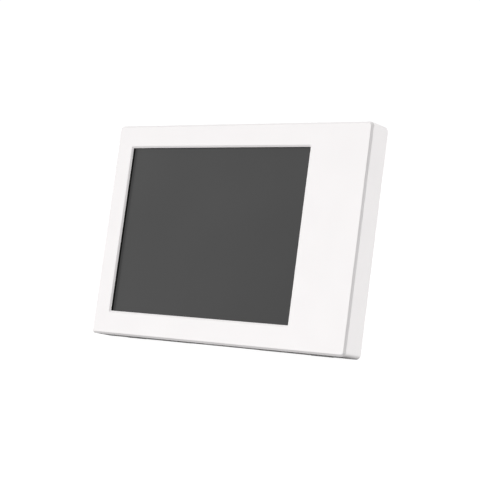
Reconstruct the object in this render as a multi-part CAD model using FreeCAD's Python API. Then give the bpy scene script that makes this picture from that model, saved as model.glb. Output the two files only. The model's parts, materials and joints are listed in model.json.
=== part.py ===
import FreeCAD, Part
import math
import os

# Digital photo frame with an 8-inch 4:3 panel, standing on its rear bottom edge and a folding rear leg.
# Everything is drawn upright first: X to the right, Y from the front face to the back, Z up.
# The last step leans the whole frame back and puts the origin at the base centre. Units are mm.

# Case
WIDTH = 227.9
HEIGHT = 156.25
DEPTH = 20.6
CORNER_R = 3.0
BACK_FILLET = 2.8
FRONT_CHAMFER = 1.36
COVER_T = 1.6
SIDE_WALL = 2.0
BACK_WALL = 1.8
SHELL_GAP = 0.06
LEAN_DEG = 12.0

# Window in the front cover, off centre: the right border is the wide one
LEFT_BORDER = 15.95
BOTTOM_BORDER = 17.4
WINDOW_W = 163.0
WINDOW_H = 122.0
WINDOW_R = 0.4
BEVEL_WIDE = 1.26
BEVEL_DEEP = 0.92
RIM_T = 1.1

# Display module, stacked from the gasket backwards
GASKET_FRONT = RIM_T + 0.03
PANEL_FRONT = 3.1
PANEL_W = 174.0
PANEL_H = 136.0
PANEL_BACK = 7.55
SHEET = 0.3
CELL_FRONT = 3.42
CELL_BACK = 4.9

# Case screws: pan-head screws driven from the back into bosses of the front cover
SCREW_INSET = 6.2
MIDDLE_SCREW_X = 45.0
BOSS_R = 2.6
BOSS_TOP = 8.9
TUBE_R = 4.3
TUBE_END = 9.0
HEAD_SEAT = 11.0
HEAD_HOLE_R = 2.7

# Electronics
BOARD_FRONT = 10.8
BOARD_BACK = 12.0
BOARD_X0 = -110.0
BOARD_X1 = -34.0
BOARD_Z0 = 44.0
BOARD_Z1 = 124.0
USB_Z = 70.0
USB_Y = 13.6
CARD_Z = 96.0
CARD_Y = 13.45

# Speakers in the wide right border, facing the back
SPEAKER_X = 93.5
SPEAKER_ZS = [42.0, 108.0]
SPEAKER_R = 14.0
EAR_REACH = 16.9
EAR_Y0 = 14.0
EAR_Y1 = 14.8

# Push buttons in the top wall
BUTTON_XS = [62.0, 77.0, 92.0]
BUTTON_NAMES = ["power", "previous", "next"]
BUTTON_Y = 10.8
BUTTON_LENGTH = 10.0
BUTTON_DEPTH = 4.0
BUTTON_PROUD = 0.8
BUTTON_TRAVEL = 0.5
BUTTON_GAP = 0.3
SWITCH_POST_XS = [53.0, 101.0]
SWITCH_BOARD_Z0 = 146.5
SWITCH_BOARD_Z1 = 147.7
SWITCH_TOP = 150.5
PLUNGER_R = 1.2

# Folding leg, hinged on a steel pin across the back
HINGE_Y = 18.0
HINGE_Z = 116.0
PIN_R = 1.0
PIN_BORE_R = 1.06
PIN_HALF = 27.4
BARREL_R = 2.4
LEG_Y0 = 16.6
LEG_Y1 = 20.4
LEG_END_Z = 3.0
HEEL = 3.6
HALF_AT_HEEL = 22.0
HALF_AT_FOOT = 30.0
RECESS_GAP = 0.6
RECESS_FLOOR = 16.0
RECESS_SKIN = 1.4
RECESS_TOP = 120.7
LATCH_Z = 14.0
LATCH_R = 4.0
MAGNET_R = 3.0
PAD_REACH = 115.0
PAD_OFFSET = 0.5
STOP_GAP = 0.05

# Ribs inside the back wall
RIB_HIGH = 1.5
RIB_HALF = 0.5
RIB_ZS = [30.0, 60.0, 92.0]
RIB_LEFT_X = -72.0
RIB_LEFT_TOP = 122.0
RIB_RIGHT_X = 56.0
ANTENNA_RIB_ZS = [130.0, 142.0]

# Vents beside the leg, and the plain label under them
VENT_COUNT = 12
VENT_X0 = -98.0
VENT_PITCH = 5.0
VENT_HALF = 0.8
VENT_Z0 = 130.0
VENT_Z1 = 144.0
GRILLE_R = 11.5
GRILLE_PITCH = 2.6
GRILLE_HALF = 0.6
LABEL_X0 = -94.0
LABEL_X1 = -46.0
LABEL_Z0 = 30.0
LABEL_Z1 = 62.0
LABEL_DEEP = 0.2

# Feet under the rear bottom edge
FOOT_XS = [-84.0, 84.0]
FOOT_HALF = 9.0
FOOT_PROUD = 0.1
FOOT_DEPTH_HALF = 1.0
FOOT_FLAT_HALF = 0.5
FOOT_BEVEL = 0.2

V = FreeCAD.Vector
HALF_W = WIDTH / 2
WINDOW_X0 = LEFT_BORDER - HALF_W
WINDOW_X1 = WINDOW_X0 + WINDOW_W
WINDOW_Z0 = BOTTOM_BORDER
WINDOW_Z1 = WINDOW_Z0 + WINDOW_H
WINDOW_XC = (WINDOW_X0 + WINDOW_X1) / 2
WINDOW_ZC = (WINDOW_Z0 + WINDOW_Z1) / 2
PANEL_X0 = WINDOW_XC - PANEL_W / 2
PANEL_X1 = WINDOW_XC + PANEL_W / 2
PANEL_Z0 = WINDOW_ZC - PANEL_H / 2
PANEL_Z1 = WINDOW_ZC + PANEL_H / 2
LEAN = math.radians(LEAN_DEG)
TOP_INNER = HEIGHT - SIDE_WALL
BACK_INNER = DEPTH - BACK_WALL

# Lowest point of the leaned case is on the back fillet; the feet reach a little lower.
FILLET_Y = DEPTH - BACK_FILLET
CASE_LOW = BACK_FILLET * math.cos(LEAN) - FILLET_Y * math.sin(LEAN) - BACK_FILLET
LIFT = FOOT_PROUD - CASE_LOW

# The leg opens until its pad is level with the feet.
HINGE_HEIGHT = HINGE_Z * math.cos(LEAN) - HINGE_Y * math.sin(LEAN) + LIFT
PAD_ANGLE = math.atan2(PAD_OFFSET, PAD_REACH)
LEG_FROM_VERTICAL = math.acos(HINGE_HEIGHT / math.hypot(PAD_REACH, PAD_OFFSET)) - PAD_ANGLE
LEG_OPEN = LEAN + LEG_FROM_VERTICAL


def box(x0, x1, y0, y1, z0, z1):
    return Part.makeBox(x1 - x0, y1 - y0, z1 - z0, V(x0, y0, z0))


def rod_x(y, z, radius, x0, x1):
    return Part.makeCylinder(radius, x1 - x0, V(x0, y, z), V(1, 0, 0))


def rod_y(x, z, radius, y0, y1):
    return Part.makeCylinder(radius, y1 - y0, V(x, y0, z), V(0, 1, 0))


def rod_z(x, y, radius, z0, z1):
    return Part.makeCylinder(radius, z1 - z0, V(x, y, z0), V(0, 0, 1))


def plate(x0, x1, z0, z1, y0, y1, radius):
    """Flat plate facing Y, with its four corners rounded."""
    block = box(x0, x1, y0, y1, z0, z1)
    corners = [e for e in block.Edges if e.BoundBox.YLength > 0.9 * (y1 - y0)]
    return block.makeFillet(radius, corners)


def ring(outer, inner, y0, y1):
    """Rectangular frame facing Y; outer and inner are (x0, x1, z0, z1)."""
    full = box(outer[0], outer[1], y0, y1, outer[2], outer[3])
    hole = box(inner[0], inner[1], y0 - 1, y1 + 1, inner[2], inner[3])
    return full.cut(hole)


def prism_x(points, x0, x1):
    """Polygon of (y, z) points pushed along X."""
    corners = [V(x0, y, z) for y, z in points]
    wire = Part.makePolygon(corners + corners[:1])
    return Part.Face(wire).extrude(V(x1 - x0, 0, 0))


def prism_y(points, y0, y1):
    """Polygon of (x, z) points pushed along Y."""
    corners = [V(x, y0, z) for x, z in points]
    wire = Part.makePolygon(corners + corners[:1])
    return Part.Face(wire).extrude(V(0, y1 - y0, 0))


def slot_x(y, z, length, height, x0, x1):
    """Round-ended bar along X: length runs along Z and height along Y."""
    radius = height / 2
    reach = length / 2 - radius
    bar = box(x0, x1, y - radius, y + radius, z - reach, z + reach)
    bar = bar.fuse(rod_x(y, z - reach, radius, x0, x1))
    return bar.fuse(rod_x(y, z + reach, radius, x0, x1)).removeSplitter()


def slot_z(x, y, length, depth, z0, z1):
    """Round-ended bar along Z: length runs along X and depth along Y."""
    radius = depth / 2
    reach = length / 2 - radius
    bar = box(x - reach, x + reach, y - radius, y + radius, z0, z1)
    bar = bar.fuse(rod_z(x - reach, y, radius, z0, z1))
    return bar.fuse(rod_z(x + reach, y, radius, z0, z1)).removeSplitter()


def wire_run(points, radius):
    """Round lead along straight runs joined by arcs as large as the runs allow."""
    spots = [V(*p) for p in points]
    edges = []
    last = spots[0]
    for before, corner, after in zip(spots, spots[1:], spots[2:]):
        back = (before - corner).normalize()
        ahead = (after - corner).normalize()
        trim = 0.45 * min((before - corner).Length, (after - corner).Length)
        half_angle = back.getAngle(ahead) / 2
        middle = (back + ahead).normalize()
        arc_radius = trim * math.tan(half_angle)
        centre = corner + middle * (trim / math.cos(half_angle))
        arc_start = corner + back * trim
        arc_end = corner + ahead * trim
        edges.append(Part.LineSegment(last, arc_start).toShape())
        edges.append(Part.Arc(arc_start, centre - middle * arc_radius, arc_end).toShape())
        last = arc_end
    edges.append(Part.LineSegment(last, spots[-1]).toShape())
    section = Part.Wire(Part.Edge(Part.Circle(spots[0], spots[1] - spots[0], radius)))
    return Part.Wire(edges).makePipeShell([section], True, False)


def join(shapes):
    whole = shapes[0]
    for shape in shapes[1:]:
        whole = whole.fuse(shape)
    return whole.removeSplitter()


def cut_all(body, tools):
    return body.cut(Part.makeCompound(tools))


def turn(y, z):
    """Turn an offset from the hinge axis by the leg's opening angle."""
    cos_open = math.cos(LEG_OPEN)
    sin_open = math.sin(LEG_OPEN)
    return HINGE_Y + y * cos_open - z * sin_open, HINGE_Z + y * sin_open + z * cos_open


def leg_half(z):
    """Half width of the tapered leg at a height."""
    top = HINGE_Z + HEEL
    return HALF_AT_HEEL + (HALF_AT_FOOT - HALF_AT_HEEL) * (top - z) / (top - LEG_END_Z)


def leg_outline(z0, z1, spread):
    """Trapezium of the leg between two heights, widened by spread on each side."""
    low = leg_half(z0) + spread
    high = leg_half(z1) + spread
    return [(-low, z0), (low, z0), (high, z1), (-high, z1)]


def case_screw_spots():
    edge = HALF_W - SCREW_INSET
    spots = []
    for x in (-edge, MIDDLE_SCREW_X, edge):
        for z in (SCREW_INSET, HEIGHT - SCREW_INSET):
            spots.append((x, z))
    return spots


def bracket_spots():
    """Boss centres beside the display, with the side the bracket reaches to."""
    spots = []
    for z in (40.0, 117.0):
        spots.append((PANEL_X0 - 3.9, z, 1))
        spots.append((PANEL_X1 + 4.1, z, -1))
    return spots


def board_post_spots():
    spots = []
    for x in (BOARD_X0 + 5.0, BOARD_X1 - 5.0):
        for z in (BOARD_Z0 + 4.0, BOARD_Z1 - 4.0):
            spots.append((x, z))
    return spots


def speaker_ear_spots():
    spots = []
    for z in SPEAKER_ZS:
        for side in (-1, 1):
            spots.append((SPEAKER_X, z + side * EAR_REACH))
    return spots


def panel_area(inset):
    return (PANEL_X0 + inset, PANEL_X1 - inset, PANEL_Z0 + inset, PANEL_Z1 - inset)


def screw_y(x, z, seat, direction, head_r, head_t, shank_r, length):
    """Cross-head screw along Y; direction is the way the shank points."""
    if direction > 0:
        head = rod_y(x, z, head_r, seat - head_t, seat)
        shank = rod_y(x, z, shank_r, seat, seat + length)
        tool_y = seat - head_t
    else:
        head = rod_y(x, z, head_r, seat, seat + head_t)
        shank = rod_y(x, z, shank_r, seat - length, seat)
        tool_y = seat + head_t
    depth = head_t * 0.55
    arm = head_r * 0.6
    slit = head_r * 0.16
    level = box(x - arm, x + arm, tool_y - depth, tool_y + depth, z - slit, z + slit)
    upright = box(x - slit, x + slit, tool_y - depth, tool_y + depth, z - arm, z + arm)
    return head.fuse(shank).cut(level.fuse(upright)).removeSplitter()


def rounded_wire(x0, x1, z0, z1, y, radius):
    """Outline of a rectangle facing Y with rounded corners."""
    sheet = plate(x0, x1, z0, z1, y, y + 1.0, radius)
    face = [f for f in sheet.Faces if f.BoundBox.YMax < y + 0.01][0]
    return face.OuterWire


def window_bevel():
    """Cutter that slopes the rim of the window towards the screen."""
    over = 0.3
    grow = BEVEL_WIDE * (1 + over / BEVEL_DEEP)
    low = rounded_wire(WINDOW_X0, WINDOW_X1, WINDOW_Z0, WINDOW_Z1, BEVEL_DEEP, WINDOW_R)
    wide = (WINDOW_X0 - grow, WINDOW_X1 + grow, WINDOW_Z0 - grow, WINDOW_Z1 + grow)
    high = rounded_wire(*wide, -over, WINDOW_R + grow)
    return Part.makeLoft([low, high], True, True)


def front_cover():
    body = plate(-HALF_W, HALF_W, 0, HEIGHT, 0, COVER_T, CORNER_R)
    front_edges = [e for e in body.Edges if e.BoundBox.YMax < 0.01]
    body = body.makeChamfer(FRONT_CHAMFER, front_edges)
    opening = plate(WINDOW_X0, WINDOW_X1, WINDOW_Z0, WINDOW_Z1, -1, COVER_T + 1, WINDOW_R)
    gasket_area = panel_area(0.6)
    rebate = box(gasket_area[0], gasket_area[1], RIM_T, COVER_T + 1, gasket_area[2], gasket_area[3])
    body = body.cut(opening).cut(window_bevel()).cut(rebate)
    # Locating lip that enters the rear cover
    lip_out = SIDE_WALL + 0.2
    lip_in = lip_out + 1.2
    lip = plate(lip_out - HALF_W, HALF_W - lip_out, lip_out, HEIGHT - lip_out, COVER_T - 0.2, 4.0, 2.8)
    lip = lip.cut(plate(lip_in - HALF_W, HALF_W - lip_in, lip_in, HEIGHT - lip_in, 1.0, 5.0, 1.6))
    # Frame of ribs that holds the display in place
    nest = ring(panel_area(-1.5), panel_area(-0.3), COVER_T - 0.2, 5.0)
    parts = [body, lip, nest]
    for z in (30.0, 55.0, 80.0, 105.0, 130.0):
        parts.append(box(PANEL_X1 + 1.0, HALF_W - lip_in + 0.2, COVER_T - 0.2, 3.2, z - 0.6, z + 0.6))
    for x, z in case_screw_spots():
        parts.append(rod_y(x, z, BOSS_R, COVER_T - 0.2, BOSS_TOP))
    for x, z, side in bracket_spots():
        parts.append(rod_y(x, z, 2.2, COVER_T - 0.2, PANEL_BACK))
    body = join(parts)
    holes = [rod_y(x, z, 1.25, 3.0, BOSS_TOP + 1) for x, z in case_screw_spots()]
    holes += [rod_y(x, z, 0.85, 3.2, PANEL_BACK + 1) for x, z, side in bracket_spots()]
    return cut_all(body, holes)


def recess_shell():
    """Floor, sides and hinge blocks of the leg's recess, before the recess is cut."""
    skin = RECESS_SKIN
    outline = leg_outline(-1.0, RECESS_TOP + skin, RECESS_GAP + skin)
    floor = prism_y(outline, RECESS_FLOOR - skin, BACK_INNER + 0.1)
    trough = box(-28.0, 28.0, RECESS_FLOOR - 2.3, RECESS_FLOOR, HINGE_Z - 4.4, HINGE_Z + 5.5)
    blocks = box(-28.0, 28.0, RECESS_FLOOR - 2.3, BACK_INNER + 0.1, HINGE_Z - 4.4, HINGE_Z + 4.4)
    return join([floor, trough, blocks])


def recess_cutters():
    opening = prism_y(leg_outline(-2.0, RECESS_TOP, RECESS_GAP), RECESS_FLOOR, DEPTH + 1)
    half = leg_half(HINGE_Z) + RECESS_GAP
    barrel = rod_x(HINGE_Y, HINGE_Z, BARREL_R + 0.4, -half, half)
    # Sloping face that the heel of the opened leg comes to rest against
    low = turn(LEG_Y0 - HINGE_Y - STOP_GAP, 0.0)
    high = turn(LEG_Y0 - HINGE_Y - STOP_GAP, HEEL + 1.0)
    stop = prism_x([low, high, (DEPTH, high[1]), (DEPTH, low[1])], -half, half)
    bore = rod_x(HINGE_Y, HINGE_Z, PIN_BORE_R, -40, 40)
    latch = rod_y(0, LATCH_Z, LATCH_R + 0.05, RECESS_FLOOR - 0.85, RECESS_FLOOR + 1)
    return [opening, barrel, stop, bore, latch]


def vent_cutters():
    cuts = []
    for step in range(VENT_COUNT):
        x = VENT_X0 + VENT_PITCH * step
        cuts.append(box(x - VENT_HALF, x + VENT_HALF, BACK_INNER - 1, DEPTH + 1, VENT_Z0, VENT_Z1))
    for z in SPEAKER_ZS:
        for step in range(-4, 5):
            rise = GRILLE_PITCH * step
            reach = math.sqrt(GRILLE_R ** 2 - rise ** 2)
            low = z + rise - GRILLE_HALF
            high = z + rise + GRILLE_HALF
            cuts.append(box(SPEAKER_X - reach, SPEAKER_X + reach, BACK_INNER - 1, DEPTH + 1, low, high))
    return cuts


def foot_outline(play):
    """Section of a foot in the rear bottom edge, as (y, z) points, widened by play inside the case."""
    def above_table(y, rise):
        return (y, (y * math.sin(LEAN) - LIFT) / math.cos(LEAN) + rise)
    middle = FILLET_Y + BACK_FILLET * math.sin(LEAN)
    half = FOOT_DEPTH_HALF + play
    points = [above_table(middle - half, FOOT_BEVEL), above_table(middle - FOOT_FLAT_HALF, 0)]
    points += [above_table(middle + FOOT_FLAT_HALF, 0), above_table(middle + half, FOOT_BEVEL)]
    return points + [(middle + half, 1.3 + play), (middle - half, 1.3 + play)]


def rear_ribs():
    """Stiffening ribs on the inside of the back wall, and two short ones that carry the antenna."""
    y0 = BACK_INNER - RIB_HIGH
    y1 = BACK_INNER + 0.2
    left = SIDE_WALL - HALF_W - 0.2
    ribs = []
    for z in RIB_ZS:
        edge = leg_half(z) + RECESS_GAP + 0.5
        ribs.append(box(left, -edge, y0, y1, z - RIB_HALF, z + RIB_HALF))
        ribs.append(box(edge, SPEAKER_X - SPEAKER_R - 1.5, y0, y1, z - RIB_HALF, z + RIB_HALF))
    for x, top in ((RIB_LEFT_X, RIB_LEFT_TOP), (RIB_RIGHT_X, TOP_INNER + 0.2)):
        ribs.append(box(x - RIB_HALF, x + RIB_HALF, y0, y1, SIDE_WALL - 0.2, top))
    for z in ANTENNA_RIB_ZS:
        ribs.append(box(-107.4, -103.6, 15.32, y1, z - RIB_HALF, z + RIB_HALF))
    return ribs


def rear_cover():
    shell = plate(-HALF_W, HALF_W, 0, HEIGHT, COVER_T + SHELL_GAP, DEPTH, CORNER_R)
    back_edges = [e for e in shell.Edges if e.BoundBox.YMin > DEPTH - 0.01]
    outside = shell.makeFillet(BACK_FILLET, back_edges)
    inset = SIDE_WALL
    inner = plate(inset - HALF_W, HALF_W - inset, inset, HEIGHT - inset, 0, BACK_INNER, CORNER_R - inset)
    body = outside.cut(inner)
    adds = [recess_shell().common(outside)] + rear_ribs()
    for x, z in case_screw_spots():
        adds.append(rod_y(x, z, TUBE_R, TUBE_END, BACK_INNER + 0.2))
    for x, z in board_post_spots():
        adds.append(rod_y(x, z, 2.4, BOARD_BACK, BACK_INNER + 0.2))
    for x, z in speaker_ear_spots():
        adds.append(rod_y(x, z, 1.9, EAR_Y1, BACK_INNER + 0.2))
    for x in SWITCH_POST_XS:
        adds.append(rod_z(x, BUTTON_Y, 2.0, SWITCH_BOARD_Z1, TOP_INNER + 0.2))
    # Thicker corner blocks in the bottom wall, where the feet are let in
    for x in FOOT_XS:
        block = box(x - FOOT_HALF - 2, x + FOOT_HALF + 2, FILLET_Y - 2.5, BACK_INNER + 0.2, 1.0, 3.4)
        adds.append(block)
    body = join([body] + adds)
    cuts = recess_cutters() + vent_cutters()
    for x, z in case_screw_spots():
        cuts.append(rod_y(x, z, HEAD_HOLE_R, HEAD_SEAT, DEPTH + 1))
        cuts.append(rod_y(x, z, 1.4, TUBE_END - 1, HEAD_SEAT + 1))
    for x, z in board_post_spots():
        cuts.append(rod_y(x, z, 0.85, BOARD_BACK - 1, 16.6))
    for x, z in speaker_ear_spots():
        cuts.append(rod_y(x, z, 0.85, EAR_Y1 - 1, 18.4))
    for x in SWITCH_POST_XS:
        cuts.append(rod_z(x, BUTTON_Y, 0.85, SWITCH_BOARD_Z1 - 1, 152.6))
    for x in BUTTON_XS:
        length = BUTTON_LENGTH + 2 * BUTTON_GAP
        cuts.append(slot_z(x, BUTTON_Y, length, BUTTON_DEPTH + 2 * BUTTON_GAP, TOP_INNER - 1, HEIGHT + 1))
    cuts.append(slot_x(USB_Y, USB_Z, 9.7, 3.9, -HALF_W - 1, -HALF_W + SIDE_WALL + 1))
    cuts.append(slot_x(CARD_Y, CARD_Z, 26.4, 3.2, -HALF_W - 1, -HALF_W + SIDE_WALL + 1))
    for x in FOOT_XS:
        cuts.append(prism_x(foot_outline(0.05), x - FOOT_HALF - 0.05, x + FOOT_HALF + 0.05))
    cuts.append(plate(LABEL_X0, LABEL_X1, LABEL_Z0, LABEL_Z1, DEPTH - LABEL_DEEP, DEPTH + 1, 2.0))
    return cut_all(body, cuts)


def window_gasket():
    inner = (WINDOW_X0 - 0.1, WINDOW_X1 + 0.1, WINDOW_Z0 - 0.1, WINDOW_Z1 + 0.1)
    return ring(panel_area(0.8), inner, GASKET_FRONT, PANEL_FRONT - 0.02)


def lcd_bezel():
    opening = (WINDOW_X0 - 1.2, WINDOW_X1 + 1.2, WINDOW_Z0 - 1.2, WINDOW_Z1 + 1.2)
    face = ring(panel_area(0), opening, PANEL_FRONT, PANEL_FRONT + SHEET)
    sides = ring(panel_area(0), panel_area(SHEET), PANEL_FRONT, 7.0)
    return join([face, sides])


def lcd_stack_plate(inset, y0, y1):
    area = panel_area(inset)
    return box(area[0], area[1], y0, y1, area[2], area[3])


def led_spots():
    first = PANEL_X0 + 9.0
    return [first + 6.0 * step for step in range(27)]


def light_guide():
    area = panel_area(3.2)
    return box(area[0], area[1], 5.5, 6.7, area[2] + 1.6, area[3])


def backlight_leds():
    z0 = PANEL_Z0 + 3.5
    return Part.makeCompound([box(x - 1.5, x + 1.5, 5.6, 6.5, z0, z0 + 1.0) for x in led_spots()])


def led_flex():
    z0 = PANEL_Z0 + 2.6
    return box(PANEL_X0 + 5.0, PANEL_X1 - 5.0, 5.5, 6.6, z0, z0 + 0.8)


def lcd_mould_frame():
    return ring(panel_area(0.4), panel_area(2.4), 4.95, 7.0)


def lcd_back_plate():
    body = lcd_stack_plate(0.4, 7.05, PANEL_BACK)
    grooves = []
    for z in (PANEL_Z0 + 25.0, PANEL_Z0 + 68.0, PANEL_Z0 + 111.0):
        grooves.append(box(PANEL_X0 + 14.0, PANEL_X1 - 14.0, PANEL_BACK - 0.2, PANEL_BACK + 1, z - 2, z + 2))
    return cut_all(body, grooves)


def lcd_driver_board():
    return box(PANEL_X0 + 12.0, PANEL_X1 - 12.0, PANEL_BACK + 0.05, PANEL_BACK + 0.85, 134.5, 144.5)


def display_flex():
    """Flat cable from the display's driver board down to the main board."""
    top = PANEL_BACK + 0.9
    line = [(top, 137.0), (top, 127.0), (9.35, 124.5), (9.35, 121.9)]
    other = [(y + 0.18, z) for y, z in line]
    return prism_x(line + other[::-1], -68.0, -50.0)


def driver_chips():
    """Three chips on the back of the display's driver board."""
    y0 = PANEL_BACK + 0.87
    chips = []
    for x in (-14.0, 10.0, 34.0):
        chip = box(x - 5.0, x + 5.0, y0, y0 + 0.8, 137.5, 141.0)
        back_edges = [e for e in chip.Edges if e.BoundBox.YMin > y0 + 0.79]
        chips.append(chip.makeChamfer(0.15, back_edges))
    return Part.makeCompound(chips)


def display_connector():
    """Flat-cable socket on the front of the main board, with its flip latch shut."""
    body = box(-70.0, -48.0, 9.75, BOARD_FRONT, 118.0, 120.8)
    latch = box(-69.2, -48.8, 9.55, 9.95, 119.0, 121.8)
    contacts = []
    for step in range(14):
        x = -68.0 + 1.38 * step
        contacts.append(box(x - 0.25, x + 0.25, 9.6, 10.5, 117.9, 118.5))
    return cut_all(body.fuse(latch).removeSplitter(), contacts)


def lcd_brackets():
    plates = []
    for x, z, side in bracket_spots():
        x0 = min(x - side * 2.4, x + side * 12.0)
        x1 = max(x - side * 2.4, x + side * 12.0)
        strip = plate(x0, x1, z - 4.0, z + 4.0, PANEL_BACK + 0.02, PANEL_BACK + 0.82, 1.5)
        plates.append(strip.cut(rod_y(x, z, 1.1, PANEL_BACK - 1, PANEL_BACK + 2)))
    return Part.makeCompound(plates)


def bracket_screws():
    seat = PANEL_BACK + 0.84
    return Part.makeCompound([screw_y(x, z, seat, -1, 1.8, 0.9, 0.8, 4.5) for x, z, side in bracket_spots()])


def case_screws():
    seat = HEAD_SEAT + 0.02
    return Part.makeCompound([screw_y(x, z, seat, -1, 2.3, 1.6, 1.2, 7.4) for x, z in case_screw_spots()])


def main_board():
    body = plate(BOARD_X0, BOARD_X1, BOARD_Z0, BOARD_Z1, BOARD_FRONT, BOARD_BACK, 1.5)
    return cut_all(body, [rod_y(x, z, 1.1, BOARD_FRONT - 1, BOARD_BACK + 1) for x, z in board_post_spots()])


def board_screws():
    seat = BOARD_FRONT - 0.02
    return Part.makeCompound([screw_y(x, z, seat, 1, 1.9, 1.0, 0.8, 5.0) for x, z in board_post_spots()])


def on_board(x0, x1, z0, z1, tall):
    return box(x0, x1, BOARD_BACK + 0.02, BOARD_BACK + 0.02 + tall, z0, z1)


def processor():
    """Carrier with a moulded cap that has bevelled edges."""
    carrier = on_board(-77.0, -63.0, 71.0, 85.0, 0.5)
    top = BOARD_BACK + 1.3
    cap = box(-76.0, -64.0, BOARD_BACK + 0.4, top, 72.0, 84.0)
    cap = cap.makeChamfer(0.25, [e for e in cap.Edges if e.BoundBox.YMin > top - 0.01])
    return carrier.fuse(cap).removeSplitter()


def shield_can():
    shell = on_board(-80.0, -46.0, 60.0, 96.0, 2.6)
    cuts = [box(-79.8, -46.2, BOARD_BACK - 1, BOARD_BACK + 2.4, 60.2, 95.8)]
    for x in (-74.0, -68.0, -58.0, -52.0):
        for z in (66.0, 74.0, 82.0, 90.0):
            cuts.append(rod_y(x, z, 0.9, BOARD_BACK + 2, BOARD_BACK + 3))
    return cut_all(shell, cuts)


def memory_chips():
    """Two chips with a row of legs along each side."""
    chips = []
    for z in (64.0, 82.0):
        pieces = [box(-60.0, -48.5, BOARD_BACK + 0.12, BOARD_BACK + 1.12, z, z + 9.0)]
        for step in range(8):
            low = z + 0.7 + 1.02 * step
            for x in (-60.7, -48.6):
                pieces.append(box(x, x + 0.8, BOARD_BACK + 0.02, BOARD_BACK + 0.5, low, low + 0.4))
        chips.append(join(pieces))
    return Part.makeCompound(chips)


def wifi_module():
    """Small carrier board with its own metal lid."""
    carrier = on_board(-62.0, -48.0, 104.0, 116.0, 0.8)
    top = BOARD_BACK + 2.02
    lid = box(-61.3, -50.6, BOARD_BACK + 0.7, top, 104.7, 115.3)
    lid = lid.makeFillet(0.3, [e for e in lid.Edges if e.BoundBox.YMin > top - 0.01])
    return carrier.fuse(lid).removeSplitter()


def small_component_spots():
    """Places of the resistors and capacitors in chip form, on the back of the main board."""
    spots = [(-70.0 + 3.0 * step, 55.5) for step in range(8)]
    spots += [(-84.0 + 3.0 * step, 100.0) for step in range(7)]
    spots += [(-100.0 + 3.0 * step, 116.0) for step in range(6)]
    spots += [(-42.5, 64.0 + 4.0 * step) for step in range(10)]
    return spots


def small_components():
    pieces = []
    for x, z in small_component_spots():
        block = on_board(x - 0.8, x + 0.8, z - 0.4, z + 0.4, 0.5)
        waist = box(x - 0.5, x + 0.5, BOARD_BACK + 0.46, BOARD_BACK + 1, z - 1, z + 1)
        pieces.append(block.cut(waist))
    return Part.makeCompound(pieces)


def capacitors():
    """Upright aluminium cans on square bases, each with a scored top."""
    low = BOARD_BACK + 0.02
    top = BOARD_BACK + 5.0
    cans = []
    for x in (-92.0, -84.0, -76.0):
        base = box(x - 2.6, x + 2.6, low, low + 0.6, 49.4, 54.6)
        neck = rod_y(x, 52.0, 2.2, low + 0.5, low + 1.2)
        can = rod_y(x, 52.0, 2.5, low + 1.0, top)
        scores = [box(x - 1.6, x + 1.6, top - 0.15, top + 1, 51.9, 52.1)]
        scores.append(box(x - 0.1, x + 0.1, top - 0.15, top + 1, 50.4, 53.6))
        cans.append(cut_all(join([base, neck, can]), scores))
    return Part.makeCompound(cans)


def inductors():
    """Moulded power coils with rounded corners and a dimpled top."""
    low = BOARD_BACK + 0.02
    coils = []
    for x in (-98.0, -90.5):
        block = plate(x, x + 6.0, 76.0, 82.0, low, low + 2.8, 1.0)
        coils.append(block.cut(rod_y(x + 3.0, 79.0, 1.8, low + 2.6, low + 4)))
    return Part.makeCompound(coils)


def cable_connectors():
    sockets = []
    for z in (50.5, 109.0):
        body = on_board(-41.5, -36.0, z, z + 7.0, 3.4)
        sockets.append(body.cut(box(-40.6, -35.0, BOARD_BACK + 0.9, BOARD_BACK + 2.7, z + 0.9, z + 6.1)))
    return Part.makeCompound(sockets)


def usb_socket():
    x0 = -HALF_W + 0.7
    shell = slot_x(USB_Y + 0.02, USB_Z, 8.94, 3.16, x0, x0 + 7.3)
    return shell.cut(slot_x(USB_Y + 0.02, USB_Z, 8.34, 2.56, x0 - 1, x0 + 6.6))


def usb_tongue():
    x0 = -HALF_W + 1.3
    return box(x0, x0 + 5.9, USB_Y - 0.33, USB_Y + 0.37, USB_Z - 3.3, USB_Z + 3.3)


def card_socket():
    shell = on_board(-111.4, -88.0, CARD_Z - 13.2, CARD_Z + 13.2, 2.9)
    mouth = box(-112.0, -90.0, BOARD_BACK + 0.32, BOARD_BACK + 2.62, CARD_Z - 12.2, CARD_Z + 12.2)
    return shell.cut(mouth)


def wifi_antenna():
    strip = box(-107.0, -104.0, 15.0, 15.3, 128.0, 144.0)
    return strip.cut(box(-106.3, -105.3, 14, 16, 136.0, 145.0))


def speaker_frames():
    frames = []
    for z in SPEAKER_ZS:
        flange = rod_y(SPEAKER_X, z, SPEAKER_R, 17.2, 18.5)
        basket = Part.makeCone(8.5, 12.6, 2.6, V(SPEAKER_X, 14.6, z), V(0, 1, 0))
        magnet = rod_y(SPEAKER_X, z, 7.5, 12.6, 14.8)
        ears = box(SPEAKER_X - 2.6, SPEAKER_X + 2.6, EAR_Y0, EAR_Y1 - 0.02, z - 19.2, z + 19.2)
        body = join([flange, basket, magnet, ears])
        bowl = Part.makeCone(3.6, 11.8, 2.6, V(SPEAKER_X, 15.95, z), V(0, 1, 0))
        holes = [rod_y(SPEAKER_X, z + side * EAR_REACH, 1.1, 13, 16) for side in (-1, 1)]
        frames.append(cut_all(body, [bowl] + holes))
    return Part.makeCompound(frames)


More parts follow.
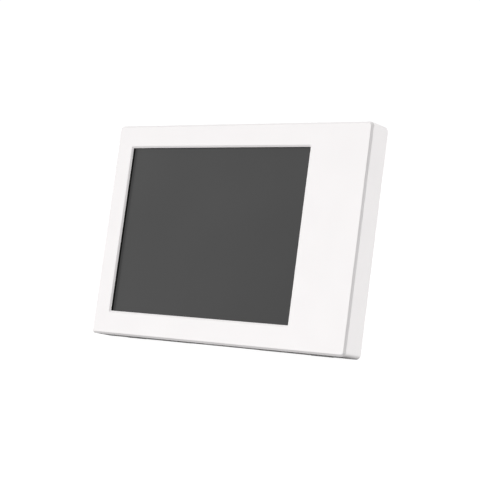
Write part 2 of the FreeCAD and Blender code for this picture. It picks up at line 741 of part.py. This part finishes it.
def speaker_cones():
    cones = []
    for z in SPEAKER_ZS:
        outer = Part.makeCone(3.4, 11.2, 2.3, V(SPEAKER_X, 16.15, z), V(0, 1, 0))
        hollow = Part.makeCone(2.4, 11.2, 2.3, V(SPEAKER_X, 16.55, z), V(0, 1, 0))
        cap = Part.makeSphere(3.0, V(SPEAKER_X, 15.3, z), V(0, 1, 0), 0, 90, 360)
        cap = cap.cut(box(SPEAKER_X - 5, SPEAKER_X + 5, 11, 16.2, z - 5, z + 5))
        cones.append(join([outer.cut(hollow), cap]))
    return Part.makeCompound(cones)


def speaker_mesh():
    return Part.makeCompound([rod_y(SPEAKER_X, z, 13.0, 18.55, 18.75) for z in SPEAKER_ZS])


def speaker_screws():
    seat = EAR_Y0 - 0.02
    return Part.makeCompound([screw_y(x, z, seat, 1, 1.8, 1.0, 0.8, 4.0) for x, z in speaker_ear_spots()])


def speaker_wires():
    runs = []
    for z in SPEAKER_ZS:
        near = 52.4 if z < 70 else 55.6
        points = [(-40.0, 13.8, near), (-32.0, 13.8, near), (-18.0, 12.2, near - 1), (10.0, 12.0, near)]
        points += [(44.0, 12.4, near), (70.0, 12.8, (near + z) / 2), (SPEAKER_X - 8.2, 13.6, z)]
        runs.append(wire_run(points, 0.55))
    return Part.makeCompound(runs)


def button_board():
    body = box(50.6, 103.2, 6.4, 15.2, SWITCH_BOARD_Z0, SWITCH_BOARD_Z1 - 0.02)
    return cut_all(body, [rod_z(x, BUTTON_Y, 1.1, 140, 150) for x in SWITCH_POST_XS])


def button_board_screws():
    screws = []
    for x in SWITCH_POST_XS:
        head = rod_z(x, BUTTON_Y, 1.8, SWITCH_BOARD_Z0 - 1.02, SWITCH_BOARD_Z0 - 0.02)
        shank = rod_z(x, BUTTON_Y, 0.8, SWITCH_BOARD_Z0 - 0.02, SWITCH_BOARD_Z0 + 5.0)
        screws.append(head.fuse(shank).removeSplitter())
    return Part.makeCompound(screws)


def button_switches():
    bodies = []
    for x in BUTTON_XS:
        body = box(x - 3.0, x + 3.0, BUTTON_Y - 3.0, BUTTON_Y + 3.0, SWITCH_BOARD_Z1, SWITCH_TOP)
        bodies.append(body.cut(rod_z(x, BUTTON_Y, PLUNGER_R + 0.08, SWITCH_BOARD_Z1 + 0.6, SWITCH_TOP + 1)))
    return Part.makeCompound(bodies)


def button_cap(x):
    """Cap in the top wall, with a flange under the wall and a stem down to the switch."""
    cap = slot_z(x, BUTTON_Y, BUTTON_LENGTH, BUTTON_DEPTH, TOP_INNER - 1.2, HEIGHT + BUTTON_PROUD)
    top_edges = [e for e in cap.Edges if e.BoundBox.ZMin > HEIGHT + BUTTON_PROUD - 0.01]
    cap = cap.makeFillet(0.4, top_edges)
    flange = slot_z(x, BUTTON_Y, BUTTON_LENGTH + 2.4, BUTTON_DEPTH + 2.4, TOP_INNER - 1.2, TOP_INNER - 0.3)
    stem = rod_z(x, BUTTON_Y, 1.5, SWITCH_TOP + 1.1, TOP_INNER - 1.0)
    return join([cap, flange, stem])


def button_plunger(x):
    return rod_z(x, BUTTON_Y, PLUNGER_R, SWITCH_TOP - 1.2, SWITCH_TOP + 1.08)


def button_cable():
    points = [(66.0, 10.4, 145.7), (58.0, 10.5, 143.2), (46.0, 10.9, 141.0), (24.0, 11.6, 138.5)]
    points += [(-4.0, 11.8, 134.0), (-26.0, 12.4, 124.0), (-32.5, 13.8, 114.0), (-40.0, 13.8, 112.5)]
    return wire_run(points, 0.7)


def antenna_cable():
    points = [(-56.0, 14.6, 112.0), (-62.0, 15.6, 120.0), (-78.0, 16.2, 127.0), (-103.9, 15.7, 133.0)]
    return wire_run(points, 0.45)


def opened(shape):
    """Swing a leg piece, drawn folded, out to the standing position."""
    result = shape.copy()
    result.rotate(V(0, HINGE_Y, HINGE_Z), V(1, 0, 0), math.degrees(LEG_OPEN))
    return result


def stand_leg():
    panel = prism_y(leg_outline(LEG_END_Z, HINGE_Z + HEEL, 0), LEG_Y0, LEG_Y1)
    corners = [e for e in panel.Edges if e.BoundBox.YLength > 3 and e.BoundBox.ZMax < LEG_END_Z + 0.01]
    panel = panel.makeFillet(3.0, corners)
    outer = [e for e in panel.Edges if e.BoundBox.YMin > LEG_Y1 - 0.01]
    panel = panel.makeChamfer(0.5, outer)
    # The heel is thinned so that it clears the back wall while it turns
    panel = panel.cut(box(-40, 40, HINGE_Y + 1.5, 30, HINGE_Z, HINGE_Z + 10))
    panel = panel.cut(rod_x(HINGE_Y, HINGE_Z, BARREL_R, -40, 40))
    barrel = rod_x(HINGE_Y, HINGE_Z, BARREL_R, -leg_half(HINGE_Z), leg_half(HINGE_Z))
    body = join([panel, barrel])
    # Weight-saving pockets on the inner face leave a rim and cross ribs
    pockets = []
    for z0, z1 in ((24.0, 44.0), (46.0, 66.0), (68.0, 88.0), (90.0, 108.0)):
        pockets.append(prism_y(leg_outline(z0, z1, -2.4), LEG_Y0 - 1, LEG_Y1 - 1.6))
    groove = box(-24.0, 24.0, HINGE_Y - 0.3, HINGE_Y + 1.3, 1.0, LEG_END_Z + 2.0)
    magnet = rod_y(0, LATCH_Z, MAGNET_R + 0.05, LEG_Y0 - 1, LEG_Y0 + 1.75)
    bore = rod_x(HINGE_Y, HINGE_Z, PIN_R + 0.01, -40, 40)
    return opened(cut_all(body, pockets + [groove, magnet, bore]))


def stand_foot_pad():
    """Rubber strip keyed into the end of the leg, level with the table when the leg is open."""
    def sole(y):
        away = y - HINGE_Y
        drop = (HINGE_HEIGHT + math.sin(LEG_FROM_VERTICAL) * away) / math.cos(LEG_FROM_VERTICAL)
        return HINGE_Z - drop
    y0 = LEG_Y0 + 0.2
    y1 = LEG_Y1 - 0.7
    top = LEG_END_Z - 0.02
    bar = prism_x([(y0, sole(y0)), (y1, sole(y1)), (y1, top), (y0, top)], -26.0, 26.0)
    tongue = box(-23.95, 23.95, HINGE_Y - 0.25, HINGE_Y + 1.25, top - 0.2, LEG_END_Z + 1.95)
    return opened(join([bar, tongue]))


def stand_magnet():
    return opened(rod_y(0, LATCH_Z, MAGNET_R, LEG_Y0 + 0.2, LEG_Y0 + 1.7))


def stand_pin():
    pin = rod_x(HINGE_Y, HINGE_Z, PIN_R, -PIN_HALF, PIN_HALF)
    rims = [e for e in pin.Edges if e.BoundBox.XLength < 0.01]
    return pin.makeChamfer(0.25, rims)


def hinge_washers():
    rings = []
    for side in (-1, 1):
        x0 = side * (leg_half(HINGE_Z) + 0.18) - 0.16
        disc = rod_x(HINGE_Y, HINGE_Z, 2.1, x0, x0 + 0.32)
        rings.append(disc.cut(rod_x(HINGE_Y, HINGE_Z, PIN_R + 0.02, x0 - 1, x0 + 2)))
    return Part.makeCompound(rings)


def base_feet():
    return Part.makeCompound([prism_x(foot_outline(0), x - FOOT_HALF, x + FOOT_HALF) for x in FOOT_XS])


def rating_label():
    """Plain foil label in the shallow field of the back wall."""
    edge = 0.2
    y0 = DEPTH - LABEL_DEEP + 0.02
    return plate(LABEL_X0 + edge, LABEL_X1 - edge, LABEL_Z0 + edge, LABEL_Z1 - edge, y0, y0 + 0.15, 1.8)


def build_all():
    parts = {
        "front_cover": front_cover(),
        "rear_cover": rear_cover(),
        "window_gasket": window_gasket(),
        "lcd_bezel": lcd_bezel(),
        "lcd_cell": lcd_stack_plate(0.5, CELL_FRONT, CELL_BACK),
        "optical_films": lcd_stack_plate(2.8, 4.95, 5.45),
        "light_guide": light_guide(),
        "reflector_sheet": lcd_stack_plate(2.8, 6.75, 6.95),
        "led_flex": led_flex(),
        "backlight_leds": backlight_leds(),
        "lcd_mould_frame": lcd_mould_frame(),
        "lcd_back_plate": lcd_back_plate(),
        "lcd_driver_board": lcd_driver_board(),
        "driver_chips": driver_chips(),
        "display_flex": display_flex(),
        "display_connector": display_connector(),
        "lcd_brackets": lcd_brackets(),
        "bracket_screws": bracket_screws(),
        "case_screws": case_screws(),
        "main_board": main_board(),
        "board_screws": board_screws(),
        "processor": processor(),
        "memory_chips": memory_chips(),
        "shield_can": shield_can(),
        "wifi_module": wifi_module(),
        "small_components": small_components(),
        "wifi_antenna": wifi_antenna(),
        "antenna_cable": antenna_cable(),
        "capacitors": capacitors(),
        "inductors": inductors(),
        "cable_connectors": cable_connectors(),
        "usb_socket": usb_socket(),
        "usb_tongue": usb_tongue(),
        "card_socket": card_socket(),
        "speaker_frames": speaker_frames(),
        "speaker_cones": speaker_cones(),
        "speaker_mesh": speaker_mesh(),
        "speaker_screws": speaker_screws(),
        "speaker_wires": speaker_wires(),
        "button_board": button_board(),
        "button_board_screws": button_board_screws(),
        "button_switches": button_switches(),
        "button_cable": button_cable(),
        "stand_leg": stand_leg(),
        "stand_foot_pad": stand_foot_pad(),
        "stand_magnet": stand_magnet(),
        "stand_pin": stand_pin(),
        "hinge_washers": hinge_washers(),
        "latch_plate": rod_y(0, LATCH_Z, LATCH_R, RECESS_FLOOR - 0.82, RECESS_FLOOR - 0.02),
        "base_feet": base_feet(),
        "rating_label": rating_label(),
    }
    for name, x in zip(BUTTON_NAMES, BUTTON_XS):
        parts[name + "_button"] = button_cap(x)
        parts[name + "_plunger"] = button_plunger(x)
    return parts


def leaned(shape):
    result = shape.copy()
    result.rotate(V(0, 0, 0), V(1, 0, 0), -LEAN_DEG)
    return result


def base_shift(parts):
    """Move that puts the middle of the footprint box on the origin and the feet on Z = 0."""
    lows = []
    highs = []
    for shape in parts.values():
        bounds = leaned(shape).optimalBoundingBox(False)
        lows.append(bounds.YMin)
        highs.append(bounds.YMax)
    return V(0, -(min(lows) + max(highs)) / 2, LIFT)


def main():
    os.makedirs("parts", exist_ok=True)
    parts = build_all()
    shift = base_shift(parts)
    for name, shape in parts.items():
        placed = leaned(shape)
        placed.translate(shift)
        placed.exportStep("parts/" + name + ".step")


if __name__ == "__main__":
    main()
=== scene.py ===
import json
import math

import bpy
from mathutils import Matrix, Vector


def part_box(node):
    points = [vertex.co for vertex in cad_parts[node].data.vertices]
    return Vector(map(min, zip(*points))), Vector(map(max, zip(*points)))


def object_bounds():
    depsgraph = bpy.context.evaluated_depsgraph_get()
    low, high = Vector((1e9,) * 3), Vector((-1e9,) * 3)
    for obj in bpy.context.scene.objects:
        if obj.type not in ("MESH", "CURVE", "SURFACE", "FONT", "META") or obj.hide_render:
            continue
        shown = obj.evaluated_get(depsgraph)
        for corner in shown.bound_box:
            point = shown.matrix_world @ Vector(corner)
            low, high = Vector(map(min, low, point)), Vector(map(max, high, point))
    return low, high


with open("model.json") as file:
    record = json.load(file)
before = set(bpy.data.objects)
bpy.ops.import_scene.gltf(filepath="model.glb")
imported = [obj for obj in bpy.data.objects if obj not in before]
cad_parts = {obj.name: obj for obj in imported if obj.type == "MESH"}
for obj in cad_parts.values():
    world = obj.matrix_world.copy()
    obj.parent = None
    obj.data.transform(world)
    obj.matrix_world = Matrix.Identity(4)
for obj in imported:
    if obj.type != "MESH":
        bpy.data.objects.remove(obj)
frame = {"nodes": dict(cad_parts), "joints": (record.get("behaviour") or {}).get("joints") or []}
cad_box = [list(corner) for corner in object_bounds()]
nodes = frame["nodes"]

# The case leans back by this much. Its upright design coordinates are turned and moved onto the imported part
# with the leg's hinge, whose place is known in both.
LEAN = math.radians(12.0)
HINGE_UPRIGHT = Vector((0.0, 0.0180, 0.1160))
hinge = next(j for j in frame["joints"] if j["name"] == "stand_hinge")
TURN = Matrix.Rotation(-LEAN, 4, "X")
SHIFT = Vector(hinge["pos_m"]) - TURN @ HINGE_UPRIGHT

# Camera, with its place in upright design millimetres
CAMERA_SPOT = (676.68, -812.45, -43.96)
CAMERA_GAZE = (-0.62746508, 0.77695985, -0.05119542)
CAMERA_LENS = 114.27
CAMERA_SENSOR = 36.0
CAMERA_REACH = 100.0

# Two broad suns as (name, direction towards the sun, brightness of a facing white surface), and their width
SUNS = [
    ("key_front_left", (-0.550, -0.830, 0.080), 0.652),
    ("side_right", (0.781, 0.610, -0.130), 0.617),
]
SUN_WIDTH = math.radians(34)

# The sky is even above the horizon and fades to nothing between these two heights below it
SKY_FADE_LOW = -0.30
SKY_FADE_HIGH = -0.04
SKY_LIGHT = 0.621
SKY_SEEN = 1.05

FLOOR_REACH = 30.0
FLOOR_BASE = 0.25
FLOOR_GLOW = 0.94


def grey(level):
    return (level, level, level)


def placed(x, y, z):
    """Upright design coordinates in millimetres, as a point of the standing frame in metres."""
    return TURN @ Vector((x / 1000, y / 1000, z / 1000)) + SHIFT


def add_camera():
    data = bpy.data.cameras.new("camera")
    data.sensor_width = CAMERA_SENSOR
    data.lens = CAMERA_LENS
    data.clip_end = CAMERA_REACH
    camera = bpy.data.objects.new("camera", data)
    bpy.context.scene.collection.objects.link(camera)
    camera.location = placed(*CAMERA_SPOT)
    camera.rotation_euler = Vector(CAMERA_GAZE).to_track_quat("-Z", "Y").to_euler()
    bpy.context.scene.camera = camera


def add_sun(name, towards, brightness):
    data = bpy.data.lights.new(name, "SUN")
    data.energy = brightness * math.pi
    data.angle = SUN_WIDTH
    lamp = bpy.data.objects.new(name, data)
    bpy.context.scene.collection.objects.link(lamp)
    lamp.rotation_euler = (-Vector(towards)).to_track_quat("-Z", "Y").to_euler()


def add_sky():
    """Even white surroundings, brighter to the camera than as light, that fade out below the horizon."""
    world = bpy.data.worlds.new("studio")
    bpy.context.scene.world = world
    world.use_nodes = True
    tree = world.node_tree
    tree.nodes.clear()
    coord = tree.nodes.new("ShaderNodeTexCoord")
    split = tree.nodes.new("ShaderNodeSeparateXYZ")
    fade = tree.nodes.new("ShaderNodeMapRange")
    fade.inputs["From Min"].default_value = SKY_FADE_LOW
    fade.inputs["From Max"].default_value = SKY_FADE_HIGH
    path = tree.nodes.new("ShaderNodeLightPath")
    level = tree.nodes.new("ShaderNodeMapRange")
    level.inputs["To Min"].default_value = SKY_LIGHT
    level.inputs["To Max"].default_value = SKY_SEEN
    strength = tree.nodes.new("ShaderNodeMath")
    strength.operation = "MULTIPLY"
    background = tree.nodes.new("ShaderNodeBackground")
    background.inputs["Color"].default_value = (1, 1, 1, 1)
    out = tree.nodes.new("ShaderNodeOutputWorld")
    tree.links.new(coord.outputs["Generated"], split.inputs[0])
    tree.links.new(split.outputs["Z"], fade.inputs["Value"])
    tree.links.new(path.outputs["Is Camera Ray"], level.inputs["Value"])
    tree.links.new(fade.outputs[0], strength.inputs[0])
    tree.links.new(level.outputs[0], strength.inputs[1])
    tree.links.new(strength.outputs[0], background.inputs["Strength"])
    tree.links.new(background.outputs[0], out.inputs["Surface"])


def add_floor():
    """Pale floor that neither lights the part nor shades it."""
    mesh = bpy.data.meshes.new("floor")
    ways = ((-1, -1), (1, -1), (1, 1), (-1, 1))
    level = cad_box[0][2]
    corners = [(x * FLOOR_REACH, y * FLOOR_REACH, level) for x, y in ways]
    mesh.from_pydata(corners, [], [(0, 1, 2, 3)])
    floor = bpy.data.objects.new("floor", mesh)
    bpy.context.scene.collection.objects.link(floor)
    floor.visible_diffuse = False
    floor.visible_glossy = False
    floor.visible_shadow = False
    material = bpy.data.materials.new("floor_pale")
    material.use_nodes = True
    shader = material.node_tree.nodes["Principled BSDF"]
    shader.inputs["Base Color"].default_value = (*grey(FLOOR_BASE), 1)
    shader.inputs["Roughness"].default_value = 0.9
    shader.inputs["Specular IOR Level"].default_value = 0.0
    shader.inputs["Emission Color"].default_value = (1, 1, 1, 1)
    shader.inputs["Emission Strength"].default_value = FLOOR_GLOW
    mesh.materials.append(material)


class Finish:
    """One procedural material: a shader with helpers for colour, roughness and relief."""

    def __init__(self, name, roughness, metallic=0.0):
        self.material = bpy.data.materials.new(name)
        self.material.use_nodes = True
        self.tree = self.material.node_tree
        self.shader = self.tree.nodes["Principled BSDF"]
        self.shader.inputs["Roughness"].default_value = roughness
        self.shader.inputs["Metallic"].default_value = metallic
        self.coord = self.tree.nodes.new("ShaderNodeTexCoord").outputs["Object"]

    def set(self, **values):
        for key, value in values.items():
            self.shader.inputs[key.replace("_", " ")].default_value = value
        return self

    def noise(self, scale, detail=3.0, stretch=None):
        source = self.coord
        if stretch:
            mapping = self.tree.nodes.new("ShaderNodeMapping")
            mapping.inputs["Scale"].default_value = stretch
            self.tree.links.new(self.coord, mapping.inputs["Vector"])
            source = mapping.outputs[0]
        noise = self.tree.nodes.new("ShaderNodeTexNoise")
        noise.inputs["Scale"].default_value = scale
        noise.inputs["Detail"].default_value = detail
        self.tree.links.new(source, noise.inputs["Vector"])
        return noise.outputs["Fac"]

    def voronoi(self, scale):
        cells = self.tree.nodes.new("ShaderNodeTexVoronoi")
        cells.inputs["Scale"].default_value = scale
        self.tree.links.new(self.coord, cells.inputs["Vector"])
        return cells.outputs["Distance"]

    def wave(self, scale, axis, distortion=0.0):
        bands = self.tree.nodes.new("ShaderNodeTexWave")
        bands.wave_type = "BANDS"
        bands.bands_direction = axis
        bands.inputs["Scale"].default_value = scale
        bands.inputs["Distortion"].default_value = distortion
        self.tree.links.new(self.coord, bands.inputs["Vector"])
        return bands.outputs["Fac"]

    def blend(self, a, b, operation):
        node = self.tree.nodes.new("ShaderNodeMath")
        node.operation = operation
        self.tree.links.new(a, node.inputs[0])
        self.tree.links.new(b, node.inputs[1])
        return node.outputs[0]

    def colour(self, factor, low, high, start=0.3, stop=0.7):
        ramp = self.tree.nodes.new("ShaderNodeValToRGB")
        ramp.color_ramp.elements[0].position = start
        ramp.color_ramp.elements[1].position = stop
        ramp.color_ramp.elements[0].color = (*low, 1)
        ramp.color_ramp.elements[1].color = (*high, 1)
        self.tree.links.new(factor, ramp.inputs["Fac"])
        self.tree.links.new(ramp.outputs["Color"], self.shader.inputs["Base Color"])
        return self

    def rough(self, factor, low, high):
        span = self.tree.nodes.new("ShaderNodeMapRange")
        span.inputs["From Min"].default_value = 0.3
        span.inputs["From Max"].default_value = 0.7
        span.inputs["To Min"].default_value = low
        span.inputs["To Max"].default_value = high
        self.tree.links.new(factor, span.inputs["Value"])
        self.tree.links.new(span.outputs[0], self.shader.inputs["Roughness"])
        return self

    def painted_haze_glow(self, sheen_bright, sheen_dim):
        """Emission given as the faint light of a panel showing plain dark grey; it is also painted light in
        place of the screen's reflected haze, which the bezel never shades, with a painted sheen brightest at
        the top left corner.
        """
        low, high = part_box("lcd_cell")
        split = self.tree.nodes.new("ShaderNodeSeparateXYZ")
        self.tree.links.new(self.coord, split.inputs[0])
        parts = []
        for axis, start, stop in (("X", low.x, high.x), ("Z", high.z, low.z)):
            along = self.tree.nodes.new("ShaderNodeMapRange")
            along.inputs["From Min"].default_value = start
            along.inputs["From Max"].default_value = stop
            along.inputs["To Max"].default_value = 0.5
            self.tree.links.new(split.outputs[axis], along.inputs["Value"])
            parts.append(along.outputs[0])
        ramp = self.tree.nodes.new("ShaderNodeValToRGB")
        ramp.color_ramp.elements[0].color = (*sheen_bright, 1)
        ramp.color_ramp.elements[1].color = (*sheen_dim, 1)
        self.tree.links.new(self.blend(*parts, "ADD"), ramp.inputs["Fac"])
        self.tree.links.new(ramp.outputs["Color"], self.shader.inputs["Emission Color"])
        self.shader.inputs["Emission Strength"].default_value = 1.0
        return self

    def relief(self, height, depth_mm, strength=1.0):
        bump = self.tree.nodes.new("ShaderNodeBump")
        bump.inputs["Strength"].default_value = strength
        bump.inputs["Distance"].default_value = depth_mm / 1000
        self.tree.links.new(height, bump.inputs["Height"])
        self.tree.links.new(bump.outputs["Normal"], self.shader.inputs["Normal"])
        return self


def moulded(name, low, high, roughness, grain=2600.0, depth=0.004):
    """Injection-moulded plastic: a fine spark-eroded grain and a faint cloudiness in the gloss."""
    finish = Finish(name, roughness)
    finish.colour(finish.noise(35.0, 2.0), low, high)
    finish.rough(finish.noise(60.0, 2.0), roughness - 0.04, roughness + 0.05)
    finish.relief(finish.noise(grain, 2.0), depth)
    return finish


def metal(name, low, high, roughness, stretch=(1.0, 40.0, 40.0)):
    finish = Finish(name, roughness, 1.0)
    streaks = finish.noise(220.0, 4.0, stretch)
    finish.colour(streaks, low, high)
    finish.rough(streaks, roughness - 0.06, roughness + 0.08)
    finish.relief(streaks, 0.006)
    return finish


def make_finishes():
    made = {}
    case = moulded("case_white_plastic", (0.928, 0.905, 0.905), (0.938, 0.915, 0.915), 0.42)
    made["case"] = case.set(Specular_IOR_Level=0.15)
    leg = moulded("leg_white_plastic", (0.90, 0.88, 0.88), (0.915, 0.895, 0.895), 0.48, 2000.0, 0.006)
    made["leg"] = leg.set(Specular_IOR_Level=0.3)
    made["button"] = moulded("button_white_plastic", (0.84, 0.83, 0.83), (0.87, 0.86, 0.86), 0.34)
    gasket = Finish("gasket_foam", 0.9)
    cells = gasket.voronoi(2800.0)
    gasket.colour(cells, grey(0.006), grey(0.016), 0.1, 0.8)
    made["gasket"] = gasket.relief(cells, 0.05)
    screen = Finish("screen_antiglare", 0.42).set(Specular_IOR_Level=0.07)
    screen.colour(screen.noise(9.0, 1.0), grey(0.008), grey(0.010))
    screen.rough(screen.noise(14.0, 1.0), 0.40, 0.46)
    # Painted light: an emitted glow in place of the screen's reflected haze, with a painted sheen brightest
    # at the top left and fading to the right and bottom.
    screen.painted_haze_glow(grey(0.060), grey(0.044))
    made["screen"] = screen.relief(screen.noise(9000.0, 1.0), 0.001)
    made["bezel"] = metal("bezel_black_coat", grey(0.02), grey(0.03), 0.5).set(Metallic=0.2)
    film = Finish("optical_film", 0.25)
    film.colour(film.noise(20.0, 2.0), (0.78, 0.79, 0.80), (0.86, 0.87, 0.88))
    made["film"] = film.relief(film.wave(4200.0, "X"), 0.01)
    guide = Finish("light_guide_acrylic", 0.08).set(Transmission_Weight=0.85, IOR=1.49)
    guide.colour(guide.noise(25.0, 2.0), (0.90, 0.93, 0.95), (0.95, 0.97, 0.98))
    made["guide"] = guide.relief(guide.voronoi(900.0), 0.01)
    led = Finish("led_phosphor", 0.45)
    made["led"] = led.colour(led.noise(900.0), (0.82, 0.68, 0.22), (0.92, 0.82, 0.40))
    made["inner"] = moulded("inner_white_plastic", (0.78, 0.78, 0.75), (0.84, 0.84, 0.82), 0.5)
    made["steel"] = metal("tinned_steel", (0.55, 0.55, 0.54), (0.68, 0.68, 0.67), 0.32)
    fine = (30.0, 30.0, 30.0)
    made["screw"] = metal("zinc_screw_steel", (0.42, 0.42, 0.43), (0.56, 0.56, 0.57), 0.30, fine)
    board = Finish("board_solder_mask", 0.32)
    tracks = board.blend(board.wave(420.0, "X", 1.5), board.wave(420.0, "Z", 1.5), "MAXIMUM")
    board.colour(tracks, (0.008, 0.085, 0.035), (0.016, 0.135, 0.06), 0.75, 0.95)
    made["board"] = board.relief(tracks, 0.03)
    flex = Finish("flex_polyimide", 0.3)
    lanes = flex.wave(900.0, "X")
    flex.colour(lanes, (0.42, 0.18, 0.02), (0.60, 0.30, 0.06), 0.4, 0.6)
    made["flex"] = flex.relief(lanes, 0.02)
    made["connector"] = moulded("connector_plastic", (0.72, 0.69, 0.58), (0.80, 0.77, 0.68), 0.42)
    made["chip"] = moulded("chip_epoxy", (0.012, 0.012, 0.013), (0.024, 0.024, 0.025), 0.5, 1800.0, 0.01)
    ceramic = Finish("chip_ceramic", 0.45)
    sintered = ceramic.noise(1400.0, 4.0)
    ceramic.colour(sintered, (0.40, 0.32, 0.22), (0.56, 0.47, 0.35))
    made["ceramic"] = ceramic.relief(sintered, 0.008)
    made["jacket"] = moulded("cable_jacket", grey(0.012), grey(0.03), 0.5)
    made["can"] = metal("capacitor_can", (0.70, 0.70, 0.71), (0.82, 0.82, 0.83), 0.25, (30.0, 1.0, 30.0))
    made["speaker"] = metal("speaker_basket", grey(0.03), grey(0.05), 0.45).set(Metallic=0.5)
    cone = Finish("speaker_paper", 0.85)
    fibres = cone.noise(700.0, 6.0)
    cone.colour(fibres, grey(0.02), grey(0.05))
    made["cone"] = cone.relief(fibres, 0.06)
    cloth = Finish("speaker_mesh_cloth", 0.8)
    weave = cloth.blend(cloth.wave(1500.0, "X"), cloth.wave(1500.0, "Z"), "MULTIPLY")
    cloth.colour(weave, grey(0.008), grey(0.06), 0.2, 0.8)
    made["cloth"] = cloth.relief(weave, 0.08)
    rubber = Finish("grip_rubber", 0.75)
    pebble = rubber.noise(1500.0, 4.0)
    rubber.colour(pebble, (0.025, 0.025, 0.026), (0.045, 0.045, 0.046))
    made["rubber"] = rubber.relief(pebble, 0.03)
    made["magnet"] = metal("nickel_magnet", (0.62, 0.60, 0.56), (0.72, 0.70, 0.66), 0.18, (20.0, 20.0, 20.0))
    label = Finish("label_film", 0.38)
    label.colour(label.noise(120.0, 3.0), (0.60, 0.60, 0.61), (0.66, 0.66, 0.67))
    made["label"] = label.relief(label.noise(900.0, 3.0), 0.004)
    return made


FINISH_OF = {
    "case": ["front_cover", "rear_cover"],
    "leg": ["stand_leg"],
    "button": ["power_button", "previous_button", "next_button"],
    "gasket": ["window_gasket"],
    "screen": ["lcd_cell"],
    "bezel": ["lcd_bezel"],
    "film": ["optical_films", "reflector_sheet", "led_flex"],
    "guide": ["light_guide"],
    "led": ["backlight_leds"],
    "inner": ["lcd_mould_frame"],
    "steel": [
        "lcd_back_plate", "lcd_brackets", "shield_can", "wifi_module",
        "usb_socket", "card_socket", "latch_plate",
    ],
    "screw": [
        "bracket_screws", "case_screws", "board_screws", "speaker_screws",
        "button_board_screws", "stand_pin", "hinge_washers",
    ],
    "board": ["main_board", "lcd_driver_board", "button_board"],
    "flex": ["display_flex", "wifi_antenna"],
    "connector": ["display_connector", "cable_connectors"],
    "chip": [
        "processor", "memory_chips", "inductors", "usb_tongue", "button_switches",
        "power_plunger", "previous_plunger", "next_plunger", "driver_chips",
    ],
    "ceramic": ["small_components"],
    "jacket": ["antenna_cable", "speaker_wires", "button_cable"],
    "can": ["capacitors"],
    "speaker": ["speaker_frames"],
    "cone": ["speaker_cones"],
    "cloth": ["speaker_mesh"],
    "rubber": ["stand_foot_pad", "base_feet"],
    "magnet": ["stand_magnet"],
    "label": ["rating_label"],
}


def apply_finishes():
    made = make_finishes()
    for key, names in FINISH_OF.items():
        for name in names:
            for slot in nodes[name].material_slots:
                slot.material = made[key].material
    bare = sorted(set(nodes) - {name for names in FINISH_OF.values() for name in names})
    if bare:
        raise RuntimeError("nodes without a finish: " + ", ".join(bare))


add_camera()
for sun in SUNS:
    add_sun(*sun)
add_sky()
add_floor()
apply_finishes()
bpy.context.scene.view_settings.view_transform = "Standard"
